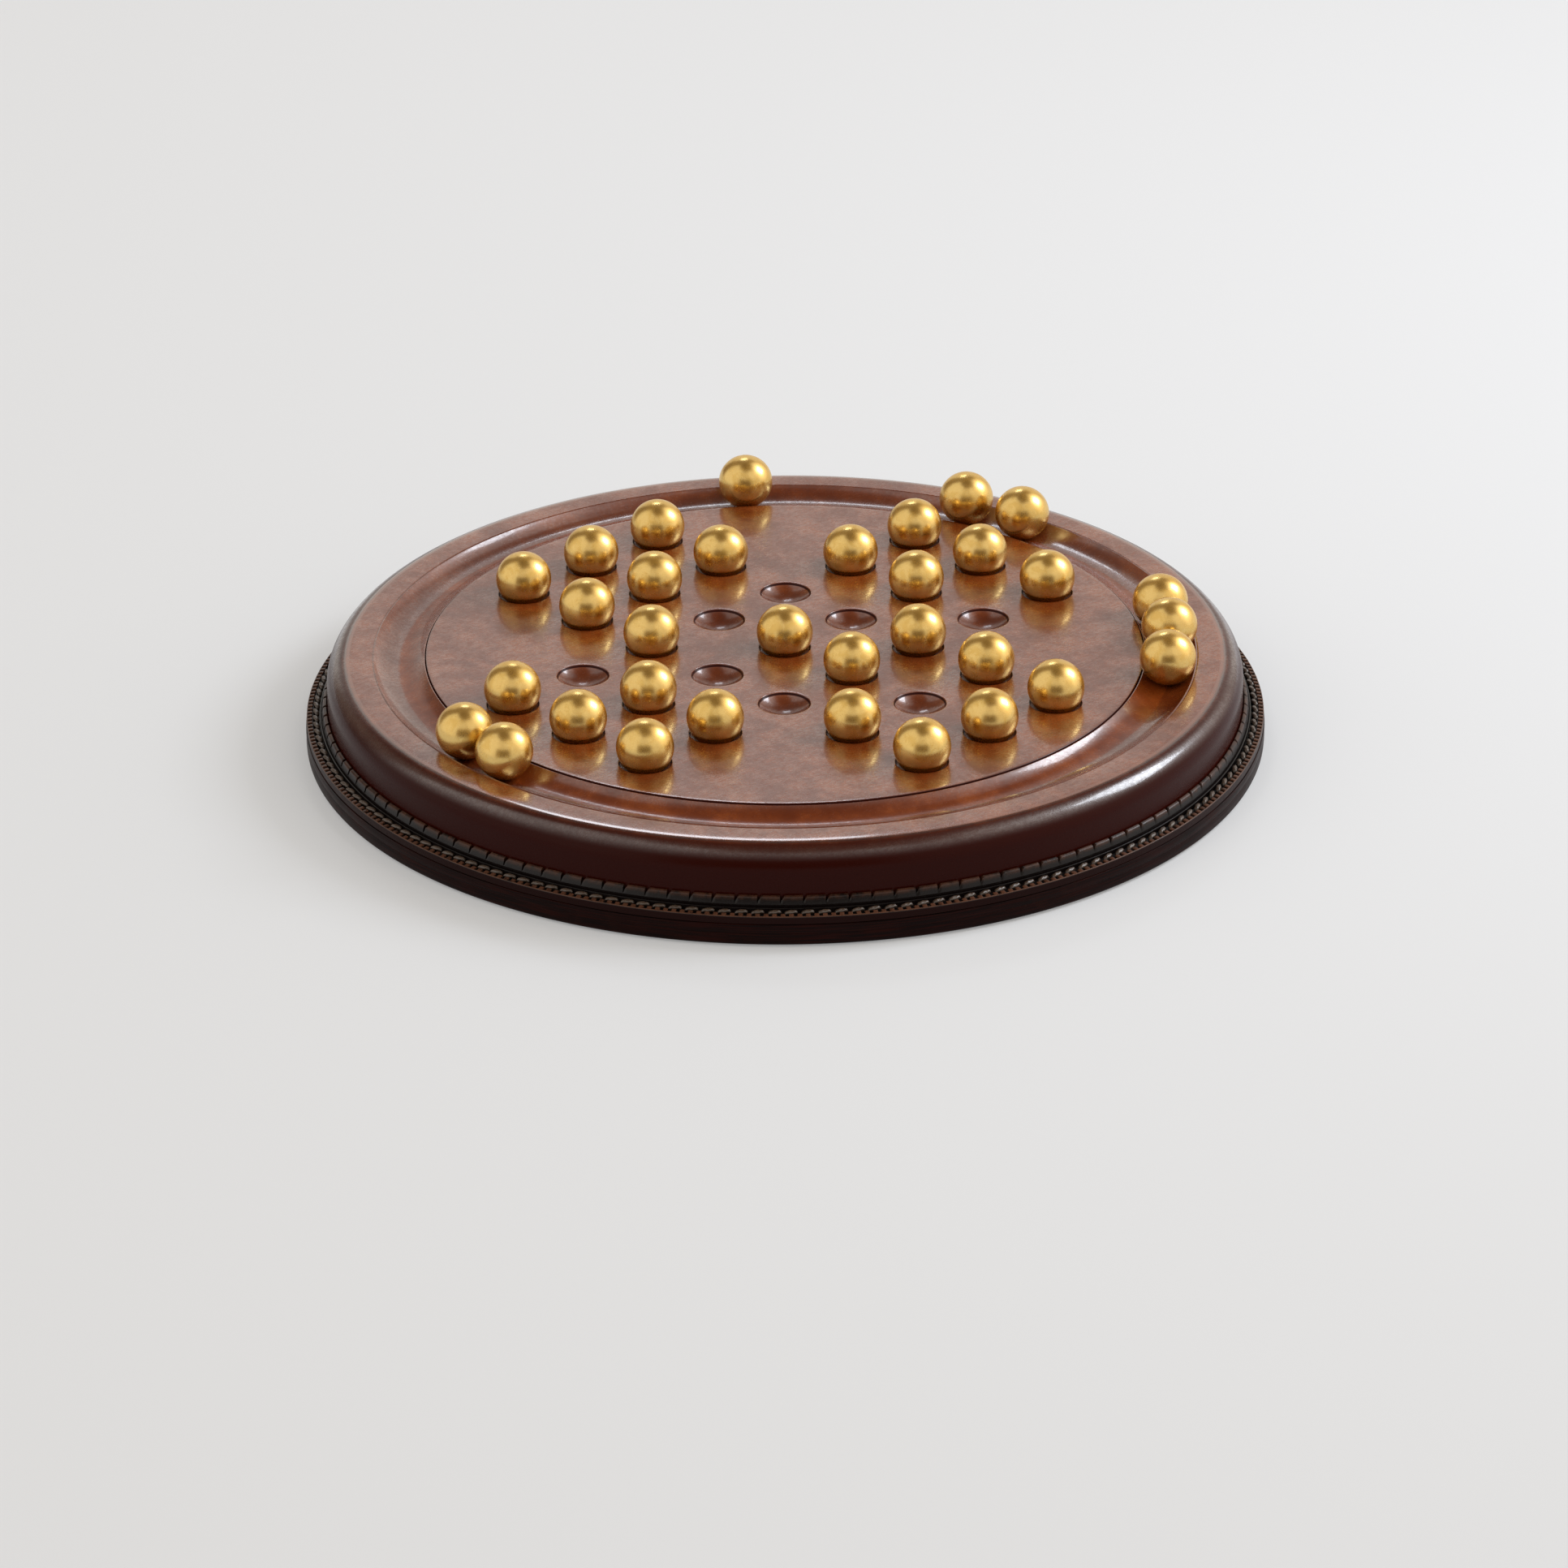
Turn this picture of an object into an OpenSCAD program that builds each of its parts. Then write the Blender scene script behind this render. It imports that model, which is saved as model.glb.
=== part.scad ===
// Peg solitaire board: brass balls on a round wooden board covered in leather.
// The board stands on a welted leather sole, built the way a shoe is.
// The origin is at the bottom centre, +Z is up, and the rows of holes run along X and Y.

/* [Balls] */
// Diameter of a ball
ball_d = 18.6; // [15:0.1:21]
// Air left under a ball at rest
ball_gap = 0.05; // [0.02:0.01:0.2]

/* [Playing field] */
// Distance between neighbouring holes
hole_pitch = 31.2; // [29:0.1:36]
// Depth of a hole
hole_depth = 4; // [2.4:0.1:4.6]
// How much larger a hole's radius of curvature is than a ball's
hole_ease = 2.4; // [1.6:0.1:5.5]
// Leather between the centre of an outermost hole and the field's edge
field_margin = 20.35; // [16:0.05:30]
// Height of the field's edge above the leather of the gutter
field_step = 0.5; // [0.2:0.05:1]

/* [Gutter and rim] */
// Depth of the gutter
gutter_depth = 3.8; // [2.5:0.1:5]
// How much larger the gutter's radius of curvature is than a ball's
gutter_ease = 2.1; // [1:0.1:5]
// Width of the flat rim
rim_w = 9.3; // [6:0.1:14]
// How far the side swells out beyond the rim
side_swell = 6.5; // [4:0.1:7.5]
// Radius of the shoulder between the rim and the side
shoulder_r = 8; // [7.6:0.1:10]
// Height of the board from the midsole up to the field
upper_h = 22.5; // [19:0.1:30]

/* [Leather] */
// Thickness of the disc over the field
field_leather_t = 1.6; // [1:0.1:2.2]
// Thickness of the ring over the gutter, the rim and the side
rim_leather_t = 1.4; // [1:0.1:2]
// Width of the margin that is turned under the core
margin_w = 13.8; // [11:0.1:20]

/* [Welt] */
// Thickness of the welt under the core
welt_base_t = 2.2; // [1.6:0.1:3]
// Thickness of the welt at its outer edge
welt_edge_t = 2.6; // [2:0.1:3.4]
// Rise of the welt's top from its outer edge to its lip
welt_rise = 1; // [0.6:0.1:1.6]
// Width of the welt that stands out beyond the side
welt_w = 7.1; // [6.4:0.1:9]
// Height of the lip above the midsole
lip_h = 7.15; // [6:0.05:9]
// Thickness of the lip
lip_t = 2.1; // [1.6:0.1:2.4]
// Diameter of the groove at the lip's foot
groove_d = 0.7; // [0.4:0.05:0.8]
// Number of notches along the lip
notch_count = 135; // [60:1:180]
// Width of a notch at its mouth
notch_w = 0.9; // [0.5:0.05:1.5]
// Depth of a notch
notch_depth = 2.1; // [1:0.1:3]

/* [Stitching] */
// Number of stitches round the welt
stitch_count = 188; // [100:1:210]
// Thickness of the thread
thread_d = 1.5; // [1:0.1:1.8]
// Gap between a stitch and the next
stitch_gap = 0.8; // [0.4:0.05:1.5]
// Length over which a stitch narrows at each end
stitch_taper = 0.6; // [0.3:0.05:0.9]
// Thickness of the thread at a stitch's ends
stitch_end_d = 0.9; // [0.5:0.05:1]
// Slant of a stitch away from the run of the welt
stitch_slant = 12; // [0:1:16]
// Clearance between the thread and the walls of its channel
thread_fit = 0.05; // [0.02:0.01:0.1]
// Width of the bead left between the channel and the lip's groove
bead_w = 0.3; // [0.2:0.05:0.6]
// How far the thread stands above the middle of the welt
thread_proud = 0.5; // [0.2:0.05:0.8]

/* [Nails] */
// Number of nails that hold the welt to the core
nail_count = 24; // [12:1:36]
// Diameter of a nail's shank
nail_d = 1.5; // [1:0.1:2]
// Length of a nail under its head
nail_l = 11; // [8:0.5:14]
// Diameter of a nail's head
nail_head_d = 3.4; // [2.6:0.1:4]
// Thickness of a nail's head
nail_head_t = 0.8; // [0.5:0.1:1.2]
// Clearance round a nail
nail_fit = 0.05; // [0.02:0.01:0.1]

/* [Sole] */
// Thickness of the midsole
midsole_t = 3; // [2:0.1:4]
// Thickness of the outsole
outsole_t = 4.2; // [3:0.1:6]
// How far the sole stands out beyond the welt
sole_lip = 0.3; // [0:0.05:0.6]
// Radius of the outsole's lower edge
sole_round = 1.2; // [0.5:0.1:1.8]
// Thickness of the suede pad under the outsole
pad_t = 1.4; // [1:0.1:2]
// How far the pad stands out below the outsole
pad_proud = 0.6; // [0.3:0.05:0.9]
// Width of the outsole's plain margin round the pad
pad_margin = 11; // [6:0.5:20]
// Clearance round the pad and round the filler
disc_fit = 0.2; // [0.1:0.05:0.4]

/* [Hidden] */
$fn = 96;
over = 1;

// Heights, from the bottom up
outsole_z = pad_proud;
midsole_z = outsole_z + outsole_t;
welt_z = midsole_z + midsole_t;
margin_z = welt_z + welt_base_t;
core_z = margin_z + rim_leather_t;
field_z = welt_z + upper_h;

// Plan of the field, seen from above: o is a hole with a ball in it, x is an empty hole
plan = [
    "  ooo  ",
    "  oox  ",
    "ooxxooo",
    "ooxooxo",
    "oooxxoo",
    "  xoo  ",
    "  ooo  "
];
column_names = "abcdefg";
reach = (len(plan) - 1) / 2;
function mark_at(spot) = plan[reach - spot[1]][reach + spot[0]];
hole_spots = [
    for (i = [-reach : reach])
        for (j = [-reach : reach])
            if (mark_at([i, j]) != " ") [i, j]
];
ball_spots = [for (spot = hole_spots) if (mark_at(spot) == "o") spot];
outer_spot = max([for (spot = hole_spots) norm(spot)]);

// Radii of curvature of the hollows, and the height of their centres
ball_r = ball_d / 2;
hole_r = ball_r + hole_ease;
hole_z = field_z - hole_depth + hole_r;
gutter_cut_r = ball_r + gutter_ease;
gutter_z = field_z - gutter_depth + gutter_cut_r;
gutter_half_w = sqrt(gutter_cut_r ^ 2 - (gutter_cut_r - gutter_depth) ^ 2);

// Radii of the rings, from the middle outwards
field_r = hole_pitch * outer_spot + field_margin;
gutter_r = field_r + gutter_half_w;
rim_r = gutter_r + gutter_half_w + rim_w;
side_r = rim_r + side_swell;
margin_r = side_r - margin_w;
welt_r = side_r + welt_w;
sole_r = welt_r + sole_lip;
pad_r = sole_r - pad_margin;
nail_ring_r = (margin_r + side_r) / 2;

// The shoulder's circle touches the side and passes through the rim's outer edge
shoulder_x = side_r - shoulder_r;
shoulder_z = field_z - sqrt(shoulder_r ^ 2 - (rim_r - shoulder_x) ^ 2);

// Welt and thread
lip_r = side_r + lip_t;
welt_top_z = welt_z + welt_edge_t + welt_rise;
channel_in_r = lip_r + groove_d / 2 + bead_w;
stitch_l = 2 * PI * channel_in_r / stitch_count - stitch_gap;
stitch_run = stitch_l - 2 * stitch_taper;
channel_w = thread_d + stitch_l * sin(stitch_slant) + 2 * thread_fit;
stitch_r = channel_in_r + channel_w / 2;
channel_z = welt_z + welt_edge_t + welt_rise / 2 + thread_proud - thread_d;

// Balls in the gutter lie in runs: the angle of a run's first ball, then the gaps to the next ones
gutter_runs = [
    [35.35, [7, 0.8]],
    [95.35, [4.4]],
    [141.4, []],
    [261.7, [1.6]]
];
function gap_angle(gap) = 2 * asin((ball_d + gap) / 2 / gutter_r);
function sum_to(list, n) = n == 0 ? 0 : gap_angle(list[n - 1]) + sum_to(list, n - 1);
gutter_angles = [
    for (run = gutter_runs)
        for (k = [0 : len(run[1])])
            run[0] + sum_to(run[1], k)
];

function spot_name(spot) = str("ball_", column_names[reach + spot[0]], reach + 1 + spot[1]);
function gutter_name(k) = str("gutter_ball_", k + 1);
board_nodes = [
    "core", "field_leather", "rim_leather", "welt", "welt_stitching",
    "welt_nails", "filler", "midsole", "outsole", "base_pad"
];

// A flat ring or, with no inner radius, a disc
module ring(outer_r, inner_r, low_z, high_z) {
    translate([0, 0, low_z])
        difference() {
            cylinder(r = outer_r, h = high_z - low_z);
            if (inner_r > 0)
                translate([0, 0, -over]) cylinder(r = inner_r, h = high_z - low_z + 2 * over);
        }
}

// Spheres that hollow out the holes, or line them at a depth under the leather's face
module hole_spheres(depth) {
    for (spot = hole_spots)
        translate([spot[0] * hole_pitch, spot[1] * hole_pitch, hole_z])
            sphere(r = hole_r + depth);
}

// Half section of the covered board, at a depth under its outer face
module board_section(depth, low_z) {
    difference() {
        union() {
            translate([0, low_z]) square([side_r - depth, shoulder_z - low_z]);
            translate([0, low_z]) square([shoulder_x, field_z - depth - low_z]);
            intersection() {
                translate([shoulder_x, shoulder_z]) circle(r = shoulder_r - depth);
                translate([shoulder_x, shoulder_z])
                    square([shoulder_r, field_z - depth - shoulder_z]);
            }
        }
        translate([gutter_r, gutter_z]) circle(r = gutter_cut_r + depth);
    }
}

// Places something at every nail
module at_nails() {
    for (k = [0 : nail_count - 1])
        rotate([0, 0, (k + 0.5) * 360 / nail_count])
            translate([nail_ring_r, 0, welt_z])
                children();
}

// One nail, or with a clearance the hole that it needs
module nail(fit) {
    translate([0, 0, -fit]) cylinder(d = nail_head_d + 2 * fit, h = nail_head_t + 2 * fit);
    cylinder(d = nail_d + 2 * fit, h = nail_head_t + nail_l + fit);
}

module core() {
    color("#b98a5a")
        difference() {
            rotate_extrude() board_section(rim_leather_t, core_z);
            ring(field_r, 0, field_z - field_leather_t, field_z + over);
            hole_spheres(field_leather_t);
            at_nails() nail(nail_fit);
        }
}

module field_leather() {
    color("#6b3520")
        difference() {
            union() {
                ring(field_r, 0, field_z - field_leather_t, field_z);
                intersection() {
                    hole_spheres(field_leather_t);
                    ring(field_r, 0, core_z, field_z - field_leather_t / 2);
                }
            }
            hole_spheres(0);
        }
}

module rim_leather() {
    color("#4a2016")
        difference() {
            rotate_extrude()
                difference() {
                    board_section(0, margin_z);
                    board_section(rim_leather_t, core_z);
                    translate([0, margin_z - over]) square([margin_r, rim_leather_t + 2 * over]);
                    translate([0, core_z]) square([field_r, field_z]);
                    translate([field_r - over, field_z - field_step])
                        square([gutter_half_w + over, field_step + over]);
                }
            at_nails() nail(nail_fit);
        }
}

module welt_section() {
    difference() {
        union() {
            translate([margin_r, welt_z]) square([side_r - margin_r, welt_base_t]);
            polygon([
                [side_r, welt_z],
                [welt_r, welt_z],
                [welt_r, welt_z + welt_edge_t],
                [lip_r, welt_top_z],
                [side_r, welt_top_z]
            ]);
            translate([side_r, welt_z]) square([lip_t, lip_h - lip_t / 2]);
            translate([side_r + lip_t / 2, welt_z + lip_h - lip_t / 2]) circle(d = lip_t);
        }
        translate([lip_r, welt_top_z + groove_d / 4]) circle(d = groove_d);
        translate([channel_in_r, channel_z]) square([channel_w, lip_h]);
    }
}

module lip_notches() {
    tip_z = welt_z + lip_h - notch_depth;
    for (k = [0 : notch_count - 1])
        rotate([0, 0, k * 360 / notch_count])
            translate([side_r - over, 0, tip_z])
                rotate([90, 0, 90])
                    linear_extrude(height = lip_t + 2 * over)
                        polygon([
                            [0, 0],
                            [notch_w * (1 + over / notch_depth), notch_depth + over],
                            [0, notch_depth + over]
                        ]);
}

module welt() {
    color("#3b2a24")
        difference() {
            rotate_extrude() welt_section();
            lip_notches();
            at_nails() nail(nail_fit);
        }
}

// A stitch that lies along the welt and narrows at both ends, turned by its slant
module stitch() {
    rotate([0, 0, stitch_slant])
        rotate([90, 0, 0]) {
            cylinder(d = thread_d, h = stitch_run, center = true, $fn = 24);
            for (side = [0, 1])
                mirror([0, 0, side])
                    translate([0, 0, stitch_run / 2])
                        cylinder(d1 = thread_d, d2 = stitch_end_d, h = stitch_taper, $fn = 24);
        }
}

module welt_stitching() {
    color("#8a7a68")
        for (k = [0 : stitch_count - 1])
            rotate([0, 0, k * 360 / stitch_count])
                translate([stitch_r, 0, channel_z + thread_d / 2])
                    stitch();
}

module welt_nails() {
    color("silver") at_nails() nail(0);
}

module filler() {
    color("#a9845c") ring(margin_r - disc_fit, 0, welt_z, core_z);
}

module midsole() {
    color("#3a1d14") ring(sole_r, 0, midsole_z, welt_z);
}

module outsole() {
    color("#2e1610")
        rotate_extrude()
            difference() {
                union() {
                    translate([0, outsole_z + sole_round])
                        square([sole_r, outsole_t - sole_round]);
                    translate([0, outsole_z]) square([sole_r - sole_round, sole_round]);
                    translate([sole_r - sole_round, outsole_z + sole_round])
                        circle(r = sole_round);
                }
                square([pad_r + disc_fit, pad_t]);
            }
}

module base_pad() {
    color("#2b2320") ring(pad_r, 0, 0, pad_t);
}

module field_ball(spot) {
    color("#c79a3f")
        translate([spot[0] * hole_pitch, spot[1] * hole_pitch, field_z - hole_depth + ball_r + ball_gap])
            sphere(r = ball_r);
}

module gutter_ball(angle) {
    color("#c79a3f")
        rotate([0, 0, angle])
            translate([gutter_r, 0, field_z - gutter_depth + ball_r + ball_gap])
                sphere(r = ball_r);
}

core();
field_leather();
rim_leather();
welt();
welt_stitching();
welt_nails();
filler();
midsole();
outsole();
base_pad();
for (spot = ball_spots)
    field_ball(spot);
for (k = [0 : len(gutter_angles) - 1])
    gutter_ball(gutter_angles[k]);
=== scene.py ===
# Peg solitaire board: brass balls on a leather covered board with a welted sole
import math
import random

import bmesh
import bpy
import numpy as np
from mathutils import Matrix, Vector, geometry


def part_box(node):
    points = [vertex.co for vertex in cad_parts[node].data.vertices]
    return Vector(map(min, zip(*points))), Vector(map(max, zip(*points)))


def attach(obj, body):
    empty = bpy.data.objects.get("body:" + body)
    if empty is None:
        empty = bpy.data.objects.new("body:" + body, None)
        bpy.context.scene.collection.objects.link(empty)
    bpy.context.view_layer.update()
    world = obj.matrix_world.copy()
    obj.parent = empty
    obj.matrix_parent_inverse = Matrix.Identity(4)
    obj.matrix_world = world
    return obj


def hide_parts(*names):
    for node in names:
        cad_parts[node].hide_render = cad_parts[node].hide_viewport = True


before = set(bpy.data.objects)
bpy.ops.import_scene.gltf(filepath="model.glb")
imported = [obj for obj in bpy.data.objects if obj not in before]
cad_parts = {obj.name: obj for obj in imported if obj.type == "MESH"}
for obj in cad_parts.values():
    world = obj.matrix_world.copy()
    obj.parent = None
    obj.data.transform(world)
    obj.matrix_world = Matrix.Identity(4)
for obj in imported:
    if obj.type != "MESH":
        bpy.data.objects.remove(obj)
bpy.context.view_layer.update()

mm = 0.001
fullTurn = 2 * math.pi


def lowest(node):  # lowest corner of a node, in mm
    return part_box(node)[0] / mm


def highest(node):  # highest corner of a node, in mm
    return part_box(node)[1] / mm


fieldTop = highest("field_leather").z
fieldRadius = highest("field_leather").x
sideRadius = highest("rim_leather").x
weltLow = lowest("welt").z
circleSlack = 0.02  # a circle in the frame has flats, so a rounder one stays this much inside
shoulderWidth = 6.6
pressedAway = 17.4
rimEdge = sideRadius - shoulderWidth  # the crease between the flat rim and the shoulder
pressedLine = fieldRadius + pressedAway  # a line pressed into the rim beside the gutter


# Shader sums

class Wire:  # a socket to reckon with: wire * 0.3 + 0.1 adds the Math nodes that it needs
    def __init__(self, tree, socket=None):
        self.tree = tree
        self.socket = socket

    def node(self, kind, settings, plugs, outlet=0):
        made = self.tree.nodes.new("ShaderNode" + kind)
        for name, value in settings.items():
            setattr(made, name, value)
        for name, value in plugs.items():
            if isinstance(value, Wire):
                self.tree.links.new(value.socket, made.inputs[name])
            else:
                made.inputs[name].default_value = value
        return Wire(self.tree, made.outputs[outlet]) if made.outputs else None

    def outlet(self, name):  # another output of the same node
        return Wire(self.tree, self.socket.node.outputs[name])

    def reckon(self, operation, *others, reflected=False):  # Math, or Vector Math on a vector
        terms = (*others, self) if reflected else (self, *others)
        if self.socket.type == "VECTOR":
            terms = [t if isinstance(t, (Wire, tuple)) else (t, t, t) for t in terms]
            return self.node("VectorMath", {"operation": operation}, dict(enumerate(terms)))
        return self.node("Math", {"operation": operation}, dict(enumerate(terms)))

    def __add__(self, other):
        return self.reckon("ADD", other)

    def __sub__(self, other):
        return self.reckon("SUBTRACT", other)

    def __rsub__(self, other):
        return self.reckon("SUBTRACT", other, reflected=True)

    def __mul__(self, other):
        return self.reckon("MULTIPLY", other)

    def __abs__(self):
        return self.reckon("ABSOLUTE")

    __radd__ = __add__
    __rmul__ = __mul__

    def between(self, low, high):  # 0 below low, 1 above high, smooth in between
        settings = {"interpolation_type": "SMOOTHSTEP"}
        return self.node("MapRange", settings, {"Value": self, "From Min": low, "From Max": high})

    def band(self, low, rise, fall, high):  # 1 from rise to fall, and 0 outside low and high
        return self.between(low, rise) * (1 - self.between(fall, high))


def tone(red, green, blue):  # a colour as a picture program gives it, made linear
    parts = [c / 255 for c in (red, green, blue)]
    return tuple(c / 12.92 if c <= 0.04045 else ((c + 0.055) / 1.055) ** 2.4 for c in parts)


def blend(mask, under, over):  # under where the mask is 0, over where it is 1
    pair = [c if isinstance(c, Wire) else (*c, 1) for c in (under, over)]
    settings = {"data_type": "RGBA", "clamp_factor": True}
    return mask.node("Mix", settings, {0: mask, 6: pair[0], 7: pair[1]}, 2)


def atRest(sheet):  # the place on the object in mm, which rides along with its body
    return sheet.node("TexCoord", {}, {}, "Object") * (1 / mm)


def mottle(where, size, detail=2, roughness=0.5, distortion=0):  # cloudy spots of a size in mm
    plugs = {"Vector": where, "Scale": 1 / size, "Detail": detail, "Roughness": roughness,
             "Distortion": distortion}
    return where.node("TexNoise", {}, plugs)


def grain(where, size):  # pebbles of a size in mm, 0 at their middles
    return where.node("TexVoronoi", {"feature": "SMOOTH_F1"}, {"Vector": where, "Scale": 1 / size})


def stretched(where, angle, times):  # turned about Z, then drawn out along one way
    plugs = {"Vector": where, "Rotation": (0, 0, math.radians(angle)), "Scale": (times, 1, 1)}
    return where.node("Mapping", {"vector_type": "TEXTURE"}, plugs)


def axes(where):  # the X, Y and Z of a place
    parts = where.node("SeparateXYZ", {}, {0: where})
    return [parts.outlet(axis) for axis in "XYZ"]


def awayAndHeight(where):  # the distance from the board's axis, and the height
    x, y, z = axes(where)
    return (x * x + y * y).reckon("SQRT"), z


def line(away, place, half):  # 1 on a ring at this distance from the axis, fading out
    return 1 - abs(away - place).between(half * 0.3, half)


def relief(height, depth):  # bump of a depth in mm
    return height.node("Bump", {}, {"Height": height, "Distance": depth * mm})


def finish(name, paint, fixed, duller=None):
    # paint gives what varies and fixed the rest; duller is fixed again, for where paint says so
    made = bpy.data.materials.new(name)
    made.use_nodes = True
    made.node_tree.nodes.clear()
    sheet = Wire(made.node_tree)
    painted = paint(sheet)
    mask = painted.pop("duller", None)
    surface = sheet.node("BsdfPrincipled", {}, {**painted, **fixed})
    if duller:
        twin = sheet.node("BsdfPrincipled", {}, {**painted, **duller})
        surface = sheet.node("MixShader", {}, {0: mask, 1: surface, 2: twin})
    sheet.node("OutputMaterial", {}, {"Surface": surface})
    return made


# Finishes

calf = {
    "light": tone(147, 75, 28), "middle": tone(126, 57, 18), "dark": tone(99, 40, 12),
    "burgundy": tone(52, 13, 7), "cloud": 30, "patch": 7, "speck": 1.4, "brush": 0.5,
    "brushAngle": 76, "pore": 0.55, "poreDepth": 0.018, "gloss": 0.15, "wax": 0.58,
}


def paintCalf(where, darker):  # hand rubbed calf: soft patches, brushed streaks and pores
    clouds = mottle(where, calf["cloud"], 3, 0.6, 0.4)
    patches = mottle(where, calf["patch"], 4, 0.62, 0.3)
    specks = mottle(where, calf["speck"], 3, 0.7)
    streaks = mottle(stretched(where, calf["brushAngle"], 4), calf["brush"], 3, 0.7)
    pores = grain(where, calf["pore"])
    wear = clouds * 0.55 + patches * 0.45
    dirt = pores.between(0.3, 0.7) * 0.3 + specks.between(0.5, 0.8) * 0.3
    colour = blend(wear.between(0.34, 0.6), calf["dark"], calf["middle"])
    colour = blend(wear.between(0.48, 0.7) * 0.7, colour, calf["light"])
    colour = blend(dirt, colour, calf["dark"])
    # darker comes from the callers: burgundy edges and shoulder, and painted shade in hollows, lips and
    # creases
    colour = blend(darker, colour, calf["burgundy"])
    rubbed = (clouds + patches * 0.6).between(0.62, 0.98) * 0.6 + 0.75
    sparkle = (specks + streaks * 1.4).between(1.0, 1.4) * 0.85 + 0.5
    return {
        "Base Color": colour,
        "Roughness": patches * 0.06 + specks * 0.08 + streaks * 0.08 + calf["gloss"],
        "Coat Weight": sparkle * rubbed * calf["wax"],
        "Normal": relief(specks * 0.8 + streaks * 0.4 - pores, calf["poreDepth"]),
    }


def paintField(sheet):
    where = atRest(sheet)
    away, height = awayAndHeight(where)
    depth = fieldTop - height
    holeShade = depth.between(0.2, 3.6)  # painted shade: darker and duller down into a hole
    edge = away.between(fieldRadius - 1.0, fieldRadius - 0.1)
    outerWall = away.between(fieldRadius - 0.36, fieldRadius - 0.2)
    wall = depth.band(0.2, 0.34, 0.75, 0.95).reckon("MAXIMUM", outerWall)  # the field's outer wall, plus painted shade on the steep part of each hole's lip
    # burgundy at the field's edge, plus painted shade in the holes and on the lips' steep walls
    paint = paintCalf(where, edge * 0.4 + holeShade * 0.45 + wall)
    paint["Coat Weight"] = paint["Coat Weight"] * (1 - wall) * (1 - holeShade * 0.3)
    paint["duller"] = wall + holeShade * (1 - wall) * 0.4
    return paint


def paintRim(sheet):
    where = atRest(sheet)
    away, height = awayAndHeight(where)
    depth = fieldTop - height
    past = away - rimEdge  # mm outside the crease
    uneven = mottle(where, 9, 3, 0.6) * 1.8
    shoulder = (past + uneven).between(0.2, 2.6)  # burgundy from here down
    flank = past.band(0.4, 1.2, 1.6, 3.2) * 0.75  # a dull strip just outside the crease
    lower = past.between(shoulderWidth - 3.1, shoulderWidth - 0.8)  # hardly waxed
    gutter = depth.between(0.5, 3.4) * (1 - past.between(-4, -3))
    # the gutter's outer wall, which also gets painted shade in the colour below
    outerWall = gutter * away.between(fieldRadius + 8, fieldRadius + 9.5)
    innerWall = gutter - outerWall
    pressed = line(away, pressedLine, 0.42) * (1 - depth.between(0.6, 0.8))
    # painted shade: darker along the crease outside the rim and in the pressed line
    creaseShade = line(past, 0.4, 0.7) * 0.4 + pressed * 0.35
    gleam = past.band(-1.8, -0.8, 0.3, 0.9)  # where hands have polished the edge
    # burgundy on the shoulder and side, plus painted shade in the creases and on the gutter's outer wall
    paint = paintCalf(where, shoulder * 0.9 + lower * 0.1 + creaseShade + outerWall * 0.4)
    coat = paint["Coat Weight"] * (1 - lower) * (1 - innerWall * 0.55) * (1 - flank * 0.7)
    paint["Coat Weight"] = coat.reckon("MAXIMUM", gleam)
    paint["duller"] = lower + flank * (1 - lower) + innerWall * 0.45
    return paint


polished = {"Specular IOR Level": 0.68, "IOR": 1.5, "Coat Roughness": 0.09, "Coat IOR": 1.6}
bare = {"Specular IOR Level": 0.08, "IOR": 1.5}
fieldFinish = finish("field leather", paintField, polished, bare)
rimFinish = finish("rim leather", paintRim, polished, bare)

waxedWelt = {
    "dark": tone(16, 8, 7), "wearAndSheen": tone(66, 34, 20), "edge": tone(94, 60, 43),
    "wall": tone(32, 8, 5), "pore": 0.5, "patch": 3.5, "depth": 0.03,
}


def paintWelt(sheet):
    where = atRest(sheet)
    away, height = awayAndHeight(where)
    out = away - sideRadius  # mm outside the board's side
    above = height - weltLow  # mm above the welt's foot
    pores = grain(where, waxedWelt["pore"])
    patches = mottle(where, waxedWelt["patch"], 4, 0.65)
    crest = above.between(5.4, 7)  # the top of the notched lip
    strip = above.between(2.5, 2.8) * out.between(4.79, 5.39)
    bead = above.between(2.45, 2.65) * out.between(5.09, 5.59)
    wall = (1 - above.between(2.3, 2.5)) * out.between(6.81, 6.93)  # the outer edge
    # lighter on the lip's crest and the strip: wear, and partly painted sheen on these lit tops
    wearAndSheen = (crest + strip) * patches.between(0.3, 0.62)
    colour = blend(wearAndSheen * 0.75, waxedWelt["dark"], waxedWelt["wearAndSheen"])
    colour = blend(wearAndSheen * pores.between(0.1, 0.4) * 0.35, colour, waxedWelt["edge"])
    # painted highlight: the bead along the welt's outer edge lighter
    colour = blend(bead * patches.between(0.2, 0.55) * 0.8, colour, waxedWelt["edge"])
    colour = blend(wall, colour, waxedWelt["wall"])
    return {
        "Base Color": colour,
        "Roughness": patches * 0.25 + 0.22,
        "Normal": relief(patches - pores, waxedWelt["depth"]),
        "duller": wall,
    }


weltFinish = finish("welt leather", paintWelt, {"Specular IOR Level": 0.3, "IOR": 1.5}, bare)

soleEdge = {
    "dark": tone(17, 4, 3), "red": tone(40, 10, 6), "scuff": tone(46, 19, 12), "patch": 11,
    "pore": 0.45, "layer": 0.42, "waves": 9, "depth": 0.04,
}


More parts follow.
